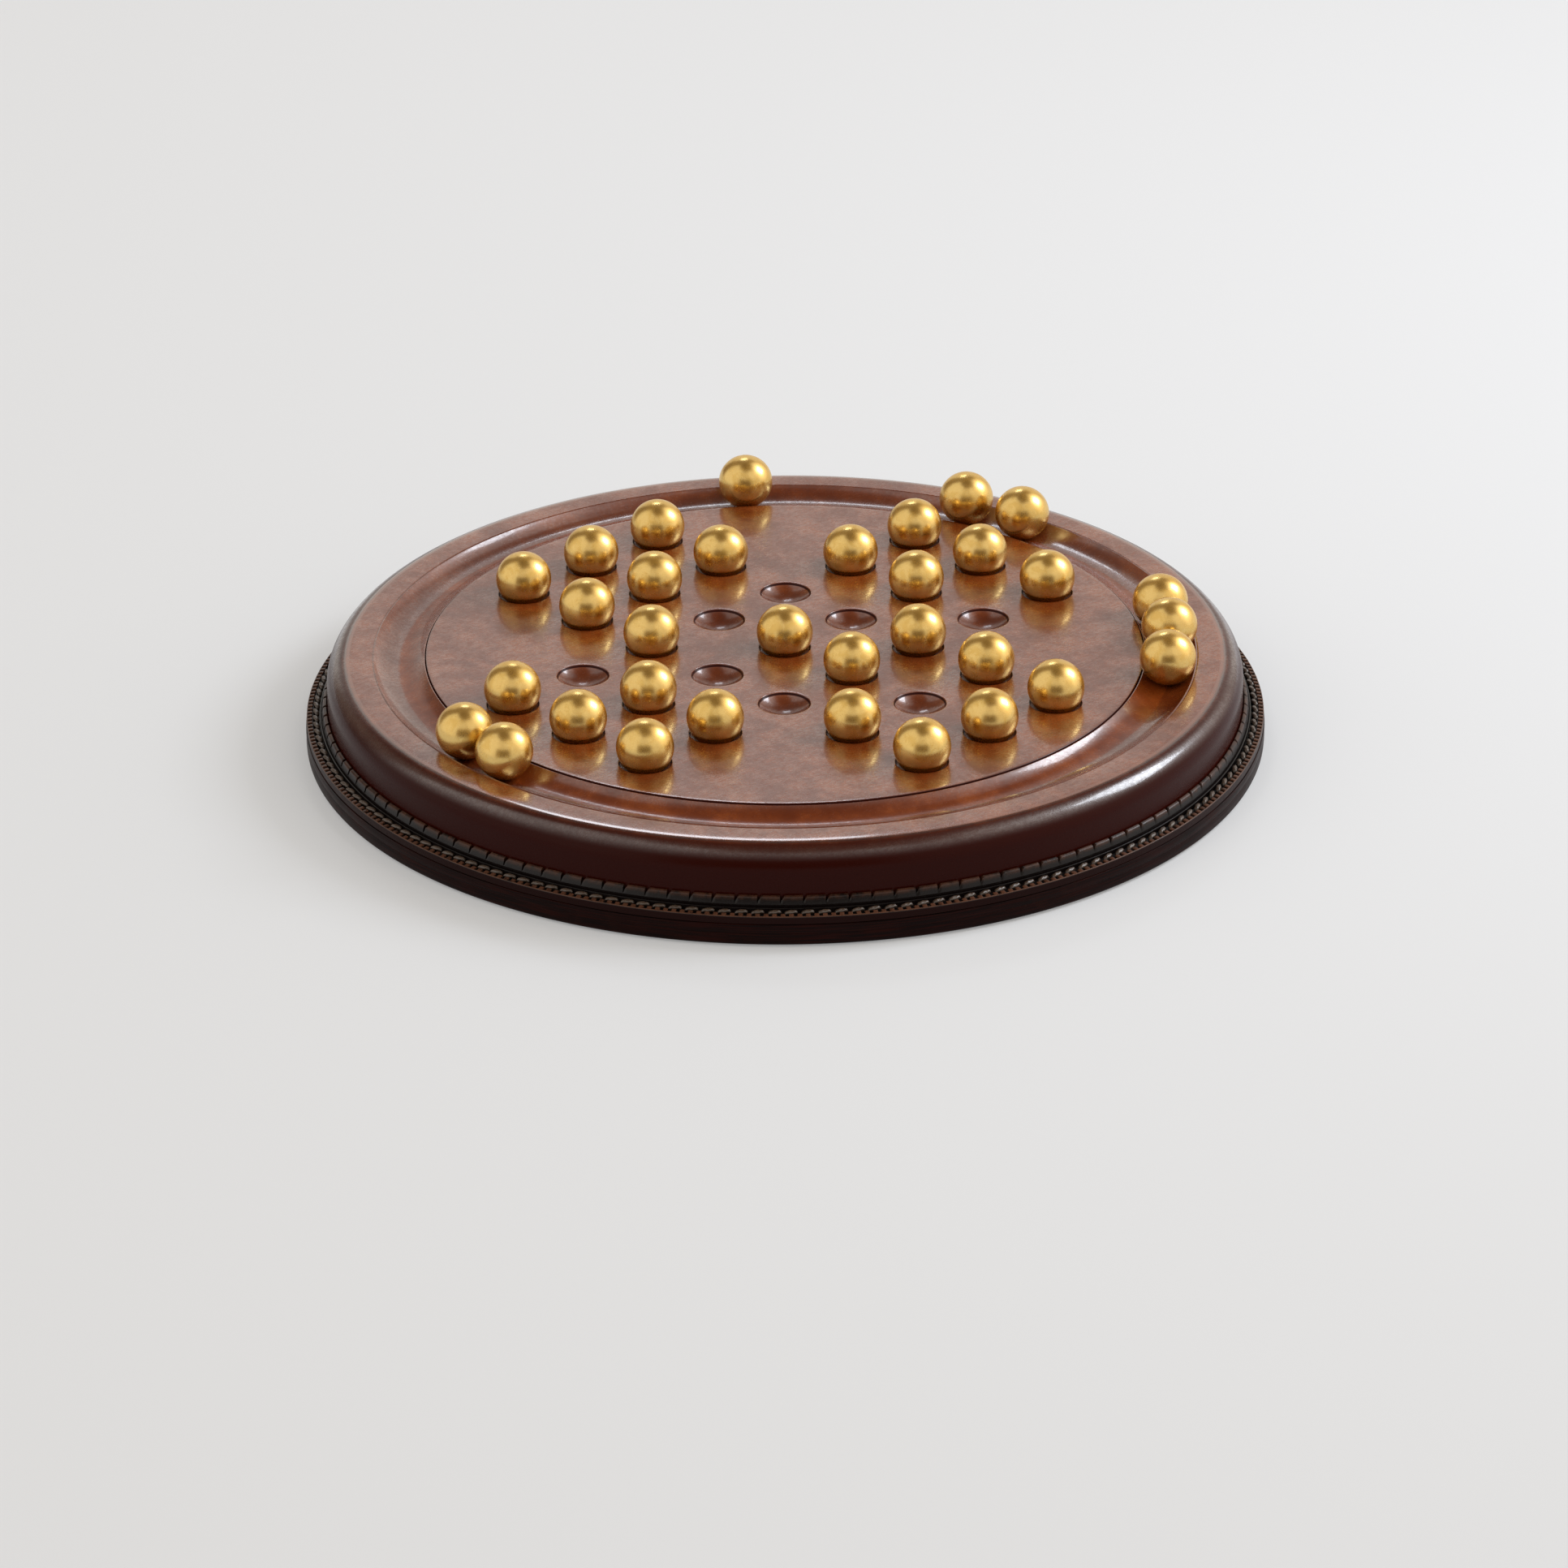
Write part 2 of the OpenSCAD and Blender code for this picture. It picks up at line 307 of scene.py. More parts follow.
def paintSole(sheet):  # burnished edge of stacked leather, with fine layers
    where = atRest(sheet)
    x, y, height = axes(where)
    angle = y.reckon("ARCTAN2", x)
    plugs = {0: angle * soleEdge["waves"], 1: height * (1 / soleEdge["layer"]), 2: 0.0}
    layers = mottle(sheet.node("CombineXYZ", {}, plugs), 1, 3)
    patches = mottle(where, soleEdge["patch"], 4, 0.6)
    pores = grain(where, soleEdge["pore"])
    colour = blend(layers.between(0.4, 0.66), soleEdge["dark"], soleEdge["red"])
    colour = blend(patches.between(0.55, 0.75) * 0.4, colour, soleEdge["scuff"])
    return {
        "Base Color": colour,
        "Roughness": patches * 0.22 + 0.3,
        "Normal": relief(layers * 0.6 - pores * 0.3, soleEdge["depth"]),
    }


soleFinish = finish("sole leather", paintSole, {"Specular IOR Level": 0.07, "IOR": 1.5})

brassTone = {
    "light": tone(240, 210, 136), "middle": tone(230, 196, 114), "dull": tone(202, 158, 76),
    "cloud": 4.2, "spot": 0.9, "scratch": 0.3, "scratchWays": [(35, 5), (-50, 4)],
    "gloss": 0.22, "haze": 0.24, "depth": 0.005,
}


def paintBrass(sheet):  # tumbled brass: cloudy dull spots under fine scratches
    where = atRest(sheet)
    dull = mottle(where, brassTone["cloud"], 4, 0.62, 0.5).between(0.42, 0.68)
    spots = mottle(where, brassTone["spot"], 4, 0.7)
    first, second = [mottle(stretched(where, *way), brassTone["scratch"], 2, 0.7)
                     for way in brassTone["scratchWays"]]
    scratches = first.reckon("MAXIMUM", second)
    colour = blend(dull * 0.7, brassTone["light"], brassTone["middle"])
    colour = blend(spots.between(0.5, 0.8) * 0.35, colour, brassTone["dull"])
    return {
        "Base Color": colour,
        "Roughness": dull * 0.05 + spots * 0.06 + brassTone["gloss"],
        "Normal": relief(scratches + spots * 0.6, brassTone["depth"]),
        "duller": dull * 0.06 + brassTone["haze"],
    }


haze = {"Metallic": 1.0, "Roughness": 0.6, "Base Color": (*tone(208, 144, 22), 1)}
brassFinish = finish("brass", paintBrass, {"Metallic": 1.0}, haze)

waxedThread = {
    "pale": tone(92, 74, 60), "dark": tone(26, 16, 12), "fibre": 0.22, "patch": 4, "depth": 0.05,
}


def paintThread(sheet):
    where = atRest(sheet)
    above = axes(where)[2] - weltLow
    fibres = mottle(where, waxedThread["fibre"], 3, 0.7)
    patches = mottle(where, waxedThread["patch"], 3, 0.6)
    # painted shade: the thread darker low down, where it dives into the welt, and pale only on top
    top = above.between(2.2, 3.4)
    colour = blend(top * (fibres * 0.5 + patches * 0.7), waxedThread["dark"], waxedThread["pale"])
    return {
        "Base Color": colour,
        "Roughness": patches * 0.25 + 0.16,
        "Normal": relief(fibres, waxedThread["depth"]),
    }


threadFinish = finish("waxed thread", paintThread, {"Specular IOR Level": 0.7, "IOR": 1.5})

suede = {"pale": tone(74, 58, 50), "dark": tone(38, 28, 25), "nap": 0.5, "brushed": 16, "depth": 0.25}


def paintSuede(sheet):
    where = atRest(sheet)
    nap = mottle(where, suede["nap"], 4, 0.75)
    brushed = mottle(stretched(where, 15, 4), suede["brushed"], 3, 0.6, 0.8)
    colour = blend(nap * 0.6 + brushed.between(0.35, 0.65) * 0.5, suede["dark"], suede["pale"])
    return {"Base Color": colour, "Normal": relief(nap, suede["depth"])}


suedeFinish = finish("suede", paintSuede, {"Roughness": 0.95, "Specular IOR Level": 0.2})

timber = {
    "early": tone(196, 152, 104), "late": tone(150, 104, 64), "ring": 4.5, "fibre": 0.5,
    "drawn": 14, "depth": 0.06,
}


def paintTimber(sheet):
    along = stretched(atRest(sheet), 0, timber["drawn"])
    rings = mottle(along, timber["ring"], 3, 0.6, 0.4)
    fibres = mottle(along, timber["fibre"], 3, 0.7)
    colour = blend(rings.between(0.35, 0.7) * 0.8 + fibres * 0.2, timber["early"], timber["late"])
    return {
        "Base Color": colour,
        "Roughness": fibres * 0.2 + 0.5,
        "Normal": relief(fibres, timber["depth"]),
    }


timberFinish = finish("turned timber", paintTimber, {"Specular IOR Level": 0.4})

corkSheet = {
    "pale": tone(190, 144, 98), "dark": tone(104, 66, 40), "granule": 2.4, "fleck": 1.1, "depth": 0.2,
}


def paintCork(sheet):
    where = atRest(sheet)
    plugs = {"Vector": where, "Scale": 1 / corkSheet["granule"]}
    granules = where.node("TexVoronoi", {"feature": "DISTANCE_TO_EDGE"}, plugs)
    flecks = mottle(where, corkSheet["fleck"], 4, 0.7)
    seams = 1 - granules.between(0.02, 0.16)
    colour = blend(seams * 0.8 + flecks.between(0.5, 0.7) * 0.5, corkSheet["pale"], corkSheet["dark"])
    return {"Base Color": colour, "Normal": relief(flecks - seams, corkSheet["depth"])}


corkFinish = finish("cork", paintCork, {"Roughness": 0.85})

nailSteel = {"bright": tone(190, 190, 192), "dull": tone(120, 116, 112), "spot": 0.8, "depth": 0.01}


def paintSteel(sheet):
    spots = mottle(atRest(sheet), nailSteel["spot"], 4, 0.7)
    colour = blend(spots.between(0.4, 0.7), nailSteel["bright"], nailSteel["dull"])
    return {
        "Base Color": colour,
        "Roughness": spots * 0.3 + 0.25,
        "Normal": relief(spots, nailSteel["depth"]),
    }


steelFinish = finish("nail steel", paintSteel, {"Metallic": 1.0})
print("finishes mixed")


# Mesh making

def buildPiece(name, points, faceGroups, material, node, body="board", sharpFrom=32):
    mesh = bpy.data.meshes.new(name)
    corners = np.concatenate([np.asarray(g).ravel() for g in faceGroups])
    sizes = np.concatenate([np.full(len(g), len(g[0])) for g in faceGroups])
    mesh.vertices.add(len(points))
    mesh.vertices.foreach_set("co", (np.asarray(points, float) * mm).ravel())
    mesh.loops.add(len(corners))
    mesh.loops.foreach_set("vertex_index", corners)
    mesh.polygons.add(len(sizes))
    mesh.polygons.foreach_set("loop_start", np.concatenate([[0], np.cumsum(sizes)[:-1]]))
    mesh.update(calc_edges=True)
    turnOutward(mesh)
    mesh.polygons.foreach_set("use_smooth", np.ones(len(sizes), bool))
    mesh.set_sharp_from_angle(angle=math.radians(sharpFrom))
    mesh.materials.append(material)
    piece = bpy.data.objects.new(name, mesh)
    bpy.context.scene.collection.objects.link(piece)
    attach(piece, body)
    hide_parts(node)


def turnOutward(mesh):  # all faces turned to the outside
    work = bmesh.new()
    work.from_mesh(mesh)
    bmesh.ops.recalc_face_normals(work, faces=work.faces)
    work.to_mesh(mesh)
    work.free()


def arc(middle, radius, start, stop, steps):  # unrounded corners on a circle, angles in degrees
    turns = np.radians(np.linspace(start, stop, steps + 1))
    return [(middle[0] + radius * math.cos(t), middle[1] + radius * math.sin(t), 0) for t in turns]


def soften(corners, stepAngle=14):  # corners are (radius, height, rounding), and become points
    points = []
    for k, (x, z, rounding) in enumerate(corners):
        here = Vector((x, z))
        if not rounding:
            points.append(tuple(here))
            continue
        before = (Vector(corners[k - 1][:2]) - here).normalized()
        after = (Vector(corners[k + 1][:2]) - here).normalized()
        inside = before.angle(after)
        middle = here + (before + after).normalized() * rounding / math.sin(inside / 2)
        start = here + before * rounding / math.tan(inside / 2) - middle
        turn = math.copysign(math.pi - inside, start.x * after.y - start.y * after.x)
        steps = max(2, math.ceil(abs(turn) / math.radians(stepAngle)))
        for s in range(steps + 1):
            part = turn * s / steps
            points.append((
                middle.x + start.x * math.cos(part) - start.y * math.sin(part),
                middle.y + start.x * math.sin(part) + start.y * math.cos(part),
            ))
    return points


def gridFaces(rows, columns, closedRows, first=0):  # quads of a grid that closes round its columns
    r = np.arange(rows if closedRows else rows - 1)[:, None]
    c = np.arange(columns)
    nextRow = (r + 1) % rows
    nextColumn = (c + 1) % columns
    corners = [r * columns + c, r * columns + nextColumn, nextRow * columns + nextColumn,
               nextRow * columns + c]
    return np.stack(corners, -1).reshape(-1, 4) + first


def turned(section, angles):  # the points of a section of (radius, height) at each angle
    radius, height = np.array(section).T
    return np.stack([
        radius[:, None] * np.cos(angles),
        radius[:, None] * np.sin(angles),
        height[:, None] * np.ones(len(angles)),
    ], -1)


def evenAngles(count):
    return np.arange(count) * fullTurn / count


def revolve(section, steps=720):  # points and faces of a closed section turned about the axis
    points = turned(section, evenAngles(steps)).reshape(-1, 3)
    return points, [gridFaces(len(section), steps, True)]


def revolveDisc(section, steps=720):  # the same, for a section that starts and ends on the axis
    body = section[1:-1]
    points = turned(body, evenAngles(steps)).reshape(-1, 3)
    poles = [(0, 0, section[0][1]), (0, 0, section[-1][1])]
    low = np.arange(steps)
    high = low + (len(body) - 1) * steps
    caps = [
        np.stack([np.full(steps, len(points)), np.roll(low, -1), low], 1),
        np.stack([np.full(steps, len(points) + 1), high, np.roll(high, -1)], 1),
    ]
    return np.concatenate([points, poles]), [gridFaces(len(body), steps, False), *caps]


def zipRings(first, firstAngles, second, secondAngles):  # triangles between two unlike rings
    firstAngles = [*firstAngles, fullTurn]
    secondAngles = [*secondAngles, fullTurn]
    faces = []
    i = j = 0
    while i < len(first) or j < len(second):
        a, b = first[i % len(first)], second[j % len(second)]
        if j == len(second) or (i < len(first) and firstAngles[i + 1] <= secondAngles[j + 1]):
            i += 1
            faces.append((a, first[i % len(first)], b))
        else:
            j += 1
            faces.append((a, second[j % len(second)], b))
    return np.array(faces)


# Field: a leather disc moulded into the holes

field = {
    "pitch": 31.2, "reach": 3, "arm": 1, "thickness": 1.6, "air": 0.14,
    "holeRadius": 11.7, "holeDepth": 4.0, "bowlTilt": 45.5,
    "bevel": 9, "lipBevel": 6, "bevelTilt": 8, "edge": 0.3, "wallTilt": 70, "wall": 0.12, "fillet": 0.2,
    "bowlRings": [1.2, 2.6, 4.0, 5.4, 6.6, 7.4, 7.9], "fineFrom": 4, "ringPoints": 72,
    "lipRing": 0.9, "lipClear": 2.4, "edgeClear": 1, "edgePoints": 540, "mesh": 5.2,
}


def holeSpots():
    steps = range(-field["reach"], field["reach"] + 1)
    inCross = [(i, j) for i in steps for j in steps if min(abs(i), abs(j)) <= field["arm"]]
    return np.array(inCross, float) * field["pitch"]


def ring(x, y, radius, count):
    angles = evenAngles(count)
    return np.stack([x + radius * np.cos(angles), y + radius * np.sin(angles)], 1)


def rounded(bevel, steepest):  # run and drop of an edge: a slow bevel, then a tight round
    easy = np.radians(np.linspace(0, field["bevelTilt"], 6))
    tight = np.radians(np.linspace(field["bevelTilt"], steepest, 5)[1:])
    run = bevel * np.sin(easy)
    drop = bevel * (1 - np.cos(easy))
    more = field["edge"] * (np.sin(tight) - math.sin(easy[-1]))
    deeper = field["edge"] * (math.cos(easy[-1]) - np.cos(tight))
    return np.append(run, run[-1] + more), np.append(drop, drop[-1] + deeper)


def lipProfile():  # radius and drop from the flat field over the lip down to the bowl, and its radius
    run, drop = rounded(field["lipBevel"], field["wallTilt"])
    steep = math.radians(field["wallTilt"])
    run = np.append(run, run[-1] + field["wall"] / math.tan(steep))
    drop = np.append(drop, drop[-1] + field["wall"])
    turns = np.radians(np.linspace(field["wallTilt"], field["bowlTilt"], 4)[1:])
    run = np.append(run, run[-1] + field["fillet"] * (math.sin(steep) - np.sin(turns)))
    drop = np.append(drop, drop[-1] + field["fillet"] * (np.cos(turns) - math.cos(steep)))
    bowl = (field["holeDepth"] - drop[-1]) / (1 - math.cos(turns[-1]))
    return bowl * math.sin(turns[-1]) + run[-1] - run, drop, bowl


def nearestHole(places, holes):
    return np.min(np.linalg.norm(places[:, None] - holes[None], axis=2), axis=1)


def planField(holes, lips, edges):  # points and triangles of the disc as seen from above
    flatRadius = edges[0] - field["edgeClear"]
    full = field["ringPoints"]
    rings = [(r, full if r >= field["fineFrom"] else full // 3) for r in field["bowlRings"]]
    rings += [(r, full) for r in (*lips[::-1], lips[0] + field["lipRing"])]
    flat = [ring(x, y, r, count) for x, y in holes for r, count in rings]
    flat.append(holes)
    flat += [ring(0, 0, r, field["edgePoints"]) for r in edges]
    flat.append(ring(0, 0, flatRadius, field["edgePoints"] // 2))
    side = np.arange(-fieldRadius, fieldRadius, field["mesh"])
    grid = np.stack(np.meshgrid(side, side), -1).reshape(-1, 2)
    grid[:, 0] += (np.round(grid[:, 1] / field["mesh"]) % 2) * field["mesh"] / 2
    inside = np.linalg.norm(grid, axis=1) < flatRadius - field["mesh"] / 2
    flat.append(grid[inside & (nearestHole(grid, holes) > lips[0] + field["lipClear"])])
    found = geometry.delaunay_2d_cdt([Vector(p) for p in np.concatenate(flat)], [], [], 0, 1e-5)
    return np.array([tuple(v) for v in found[0]]), np.array(found[2])


def makeField():
    holes = holeSpots()
    lips, lipDrop, bowl = lipProfile()
    outer = fieldRadius - field["air"]
    run, drop = rounded(field["bevel"], 90)
    edges = outer - run[-1] + run
    plan, faces = planField(holes, lips, edges)
    toHole = nearestHole(plan, holes)
    away = np.linalg.norm(plan, axis=1)
    top = -np.interp(away, edges, drop) - np.interp(toHole, lips[::-1], lipDrop[::-1])
    inBowl = toHole < lips[-1]
    top[inBowl] = bowl - field["holeDepth"] - np.sqrt(bowl ** 2 - toHole[inBowl] ** 2)
    cup = field["holeRadius"] + field["thickness"]
    middle = field["holeRadius"] - field["holeDepth"]  # height of the cup's centre over the field
    under = middle - np.sqrt(np.maximum(cup ** 2 - toHole ** 2, 0))
    under = np.where(toHole < cup, np.minimum(under, -field["thickness"]), -field["thickness"])

    brink = np.flatnonzero(away > outer - 1e-3)
    brink = brink[np.argsort(np.arctan2(plan[brink, 1], plan[brink, 0]))]
    after = np.roll(brink, -1)
    wall = np.stack([brink, after, after + len(plan), brink + len(plan)], 1)
    points = np.concatenate([
        np.column_stack([plan, fieldTop + top]),
        np.column_stack([plan, fieldTop + under]),
    ])
    groups = [faces, faces[:, ::-1] + len(plan), wall]
    buildPiece("fieldCover", points, groups, fieldFinish, "field_leather")
    print("field cover:", len(points), "points")


makeField()

# Rim cover: one piece of leather over the gutter, the rim, the shoulder and the side

rim = {
    "thickness": 1.4, "gutterDepth": 3.8, "gutterRadius": 11.4, "step": 0.5, "gap": 0.15,
    "pressWidth": 0.8, "pressDepth": 0.2, "roll": 20, "rollTilt": 8.5, "crease": 0.2,
    "shoulder": 8.6, "shoulderFrom": 71, "liningFrom": 76, "foot": 0.5, "margin": 13.8,
}


def makeRim():
    t = rim["thickness"]
    cutDrop = rim["gutterRadius"] - rim["gutterDepth"]  # centre of the gutter's circle over the field
    halfWidth = math.sqrt(rim["gutterRadius"] ** 2 - cutDrop ** 2)
    centre = (fieldRadius + halfWidth, fieldTop + cutDrop)
    atStep = -90 - math.degrees(math.acos((cutDrop + rim["step"]) / rim["gutterRadius"]))
    atRim = -90 + math.degrees(math.acos(cutDrop / rim["gutterRadius"]))
    roll, tilt = rim["roll"], math.radians(rim["rollTilt"])
    rollStart = rimEdge - roll * math.sin(tilt)
    creaseZ = fieldTop - roll * (1 - math.cos(tilt))
    shoulderX = sideRadius - rim["shoulder"]
    shoulderZ = creaseZ - math.sqrt(rim["shoulder"] ** 2 - (rimEdge - shoulderX) ** 2)
    shoulder = (shoulderX, shoulderZ)
    low = lowest("rim_leather").z
    ledge = fieldTop - rim["step"]
    inner = fieldRadius + rim["gap"]
    half = rim["pressWidth"] / 2
    gutter = arc(centre, rim["gutterRadius"], atStep, atRim, 30)
    gutter[-1] = (*gutter[-1][:2], 0.1)  # softened where it meets the rim
    corners = [
        (inner, ledge - t, 0),
        (inner, ledge, 0.1),
        *gutter,
        (pressedLine - half, fieldTop, 0.08),
        (pressedLine, fieldTop - rim["pressDepth"], 0.06),
        (pressedLine + half, fieldTop, 0.12),
        *arc((rollStart, fieldTop - roll), roll, 90, 91 - rim["rollTilt"], 9),  # just short of the crease
        (rimEdge, creaseZ, rim["crease"]),
        *arc(shoulder, rim["shoulder"], rim["shoulderFrom"], 0, 22),
        (sideRadius, low, rim["foot"]),
        (sideRadius - rim["margin"], low, 0.3),
        (sideRadius - rim["margin"], low + t, 0),
        (sideRadius - t, low + t, 0),
        *arc(shoulder, rim["shoulder"] - t, 0, rim["liningFrom"], 8),
        *arc(centre, rim["gutterRadius"] + t, atRim - 6, atStep, 10),
    ]
    points, faces = revolve(soften(corners))
    buildPiece("rimCover", points, faces, rimFinish, "rim_leather")
    print("rim cover:", len(points), "points")


makeRim()

# Welt: notched lip, groove, stitch channel and a strip of wheel marks

welt = {
    "width": 7.05, "edge": 2.7, "base": 2.2, "margin": 13.8, "air": 0.05,
    "lipTop": 7.15, "lipFoot": 2.1, "bead": 3.6, "groove": 0.35, "strip": 3.02,
    "channelIn": 2.75, "channelOut": 5.2, "channelDepth": 1.5,
    "notches": 135, "notchWidth": 1.35, "notchDepth": 2.1, "notchLean": 0.0004,
    "marks": 376, "markIn": 5.3, "markOut": 6.72, "markDepth": 0.75,
    "markShape": [(0, 0), (0.18, 0), (0.26, 0.12), (0.31, 0.85), (0.4, 1),
                  (0.6, 1), (0.69, 0.85), (0.74, 0.12), (0.82, 0)],
}


def lipPart():  # points and angles inside the stitches: the margin, the notched lip and the bead
    side, low = sideRadius, weltLow
    top = low + welt["lipTop"]
    bead = low + welt["bead"]
    groove = bead - welt["groove"]
    channel = side + welt["channelIn"]
    section = soften([
        (side - welt["margin"], low, 0),
        (side - welt["margin"], low + welt["base"], 0),
        (side + welt["air"], low + welt["base"], 0),
        (side + welt["air"], top - 0.75, 0.3),
        (side + 0.45, top, 0.35),
        (side + 1.45, top - 0.45, 0.9),
        (side + welt["lipFoot"], bead + 0.9, 0.3),
        (side + welt["lipFoot"] - 0.15, groove, 0.08),
        (side + welt["lipFoot"] + 0.1, groove, 0.08),
        (side + welt["lipFoot"] + 0.2, bead + 0.02, 0.1),
        (channel - 0.05, bead - 0.05, 0.1),
        (channel, bead - welt["channelDepth"], 0),
    ])
    pitch = fullTurn / welt["notches"]
    nick = welt["notchWidth"] / (side + welt["lipFoot"] / 2)
    slope = np.array([0.35, 0.7, 1.0, 1.25]) * nick
    tooth = np.linspace(slope[-1], pitch, 5)[1:-1]
    columns = np.concatenate([[0, welt["notchLean"]], slope, tooth, [pitch - 0.0003]])
    angles = (np.arange(welt["notches"])[:, None] * pitch + columns).ravel()
    grid = turned(section, angles)
    within = np.tile(columns, welt["notches"])
    tip = top - welt["notchDepth"]  # each notch drops straight to here, then slopes up again
    ceiling = np.where(within <= nick * 1.01, tip + welt["notchDepth"] * within / nick, 1e3)
    onLip = (grid[:, :, 2] > tip) & (np.hypot(grid[:, :, 0], grid[:, :, 1]) > side)
    grid[:, :, 2] = np.where(onLip, np.minimum(grid[:, :, 2], ceiling), grid[:, :, 2])
    return grid, angles


def stripPart():  # points and angles outside the stitches: the strip of wheel marks and the edge
    side, low = sideRadius, weltLow
    top = low + welt["strip"]
    floor = low + welt["bead"] - welt["channelDepth"]
    outer = side + welt["width"]
    markEnd = side + welt["markOut"]
    section = soften([
        (side + welt["channelOut"], floor, 0),
        (side + welt["channelOut"] + 0.05, top, 0.12),
        (side + welt["markIn"] + 0.25, top, 0),
        (side + welt["markIn"] + 0.7, top - 0.06, 0),
        (markEnd - 0.25, top - 0.14, 0),
        (markEnd, top - 0.2, 0),
        (markEnd + 0.06, top - 0.2, 0),
        (outer, low + welt["edge"], 0.18),
        (outer, low, 0.2),
        (outer - 0.6, low, 0),
    ])
    pitch = fullTurn / welt["marks"]
    phases, depths = np.array(welt["markShape"]).T
    angles = (np.arange(welt["marks"])[:, None] * pitch + phases * pitch).ravel()
    grid = turned(section, angles)
    away, height = np.array(section).T
    pressed = (away < markEnd + 0.01) & (height > floor + 0.01)
    grid[:, :, 2] -= pressed[:, None] * np.tile(depths, welt["marks"]) * welt["markDepth"]
    return grid, angles


def makeWelt():
    lip, lipAngles = lipPart()
    strip, stripAngles = stripPart()
    lipRows, lipColumns = lip.shape[:2]
    stripRows, stripColumns = strip.shape[:2]
    start = lipRows * lipColumns
    lipFirst = np.arange(lipColumns)
    lipLast = lipFirst + (lipRows - 1) * lipColumns
    stripFirst = np.arange(stripColumns) + start
    stripLast = stripFirst + (stripRows - 1) * stripColumns
    points = np.concatenate([lip.reshape(-1, 3), strip.reshape(-1, 3)])
    groups = [
        gridFaces(lipRows, lipColumns, False),
        gridFaces(stripRows, stripColumns, False, start),
        zipRings(lipLast, lipAngles, stripFirst, stripAngles),
        zipRings(stripLast, stripAngles, lipFirst, lipAngles),
    ]
    buildPiece("weltStrip", points, groups, weltFinish, "welt", sharpFrom=40)
    print("welt:", len(points), "points")


makeWelt()

# Stitches: waxed thread that dives into the welt at both ends

stitch = {
    "count": 188, "away": 4.0, "length": 4.75, "slant": 15, "width": 1.74, "height": 1.5,
    "topHeight": 3.6, "dive": 0.85, "tip": 0.14, "strands": 3, "lay": 0.07, "twist": 2.1,
    "around": 16, "along": 17, "seed": 7, "sway": 0.0004, "sag": 0.05,
}


def oneStitch():  # its points by row along the thread, at angle 0
    s = np.linspace(-1, 1, stitch["along"])
    phi = evenAngles(stitch["around"])
    swell = np.sqrt(np.clip(1 - np.abs(s) ** 5, 0, 1)) * (1 - stitch["tip"])
    swell += stitch["tip"] * (1 - np.abs(s))
    swell[[0, -1]] = 0.02
    sink = stitch["dive"] * np.abs(s)[:, None] ** 5.5
    ply = 1 + stitch["lay"] * np.cos(stitch["strands"] * (phi - s[:, None] * stitch["twist"]))
    across = stitch["width"] / 2 * swell[:, None] * np.cos(phi) * ply
    upward = stitch["height"] / 2 * swell[:, None] * np.sin(phi) * ply - sink
    forward = (s * stitch["length"] / 2)[:, None] * np.ones(stitch["around"])
    slant = math.radians(stitch["slant"])
    return np.stack([
        sideRadius + stitch["away"] + across * math.cos(slant) - forward * math.sin(slant),
        forward * math.cos(slant) + across * math.sin(slant),
        weltLow + stitch["topHeight"] - stitch["height"] / 2 + upward,
    ], -1).reshape(-1, 3)


def makeStitches():
    one = oneStitch()
    x, y, z = one.T
    rows, columns = stitch["along"], stitch["around"]
    quads = gridFaces(rows, columns, False)
    ends = [np.arange(columns)[None, ::-1], np.arange(columns)[None] + (rows - 1) * columns]
    points, sides, caps = [], [], []
    dice = random.Random(stitch["seed"])
    for k in range(stitch["count"]):
        angle = k * fullTurn / stitch["count"] + dice.uniform(-stitch["sway"], stitch["sway"])
        lift = dice.uniform(-stitch["sag"], 0.0)
        c, n = math.cos(angle), math.sin(angle)
        points.append(np.stack([x * c - y * n, x * n + y * c, z + lift], 1))
        sides.append(quads + k * len(one))
        caps += [end + k * len(one) for end in ends]
    points = np.concatenate(points)
    groups = [np.concatenate(sides), np.concatenate(caps)]
    buildPiece("stitches", points, groups, threadFinish, "welt_stitching", sharpFrom=60)
    print("stitches:", len(points), "points")


makeStitches()

# Sole: midsole, outsole and the suede pad under it

sole = {
    "crease": 0.12, "lowerEdge": 1.2, "bulge": 0.1, "padEdge": 0.4, "padGap": 0.2, "padAir": 0.02,
    "innerRing": 60,
}


def makeDisc(name, outline, material, node):  # outline from the lower face to the upper one
    low, top, inner = outline[0][1], outline[-1][1], sole["innerRing"]
    section = soften([(0, low, 0), (inner, low, 0), *outline, (inner, top, 0), (0, top, 0)])
    points, faces = revolveDisc(section)
    buildPiece(name, points, faces, material, node)


def makeSoles():
    low, top = lowest("midsole").z, highest("midsole").z
    edge = highest("midsole").x - circleSlack
    makeDisc("midsoleDisc", [
        (edge - 2, low, 0),
        (edge - sole["bulge"], low, sole["crease"]),
        (edge, (low + top) / 2, 1.0),
        (edge - sole["bulge"], top, sole["crease"]),
        (edge - 2, top, 0),
    ], soleFinish, "midsole")

    low, top = lowest("outsole").z, highest("outsole").z
    edge = highest("outsole").x - circleSlack
    padRadius, padTop = highest("base_pad").x, highest("base_pad").z
    recess = padTop + sole["padAir"]
    makeDisc("outsoleDisc", [
        (padRadius + sole["padGap"], recess, 0),
        (padRadius + sole["padGap"], low, 0.2),
        (edge - 2.5, low, 0),
        (edge - 0.12, low, sole["lowerEdge"]),
        (edge, (low + top) / 2 + 0.5, 1.2),
        (edge - sole["bulge"], top, sole["crease"]),
        (edge - 2, top, 0),
    ], soleFinish, "outsole")

    outline = [(padRadius, 0, sole["padEdge"]), (padRadius, padTop, 0.1)]
    makeDisc("suedePad", outline, suedeFinish, "base_pad")
    print("soles and pad made")


makeSoles()

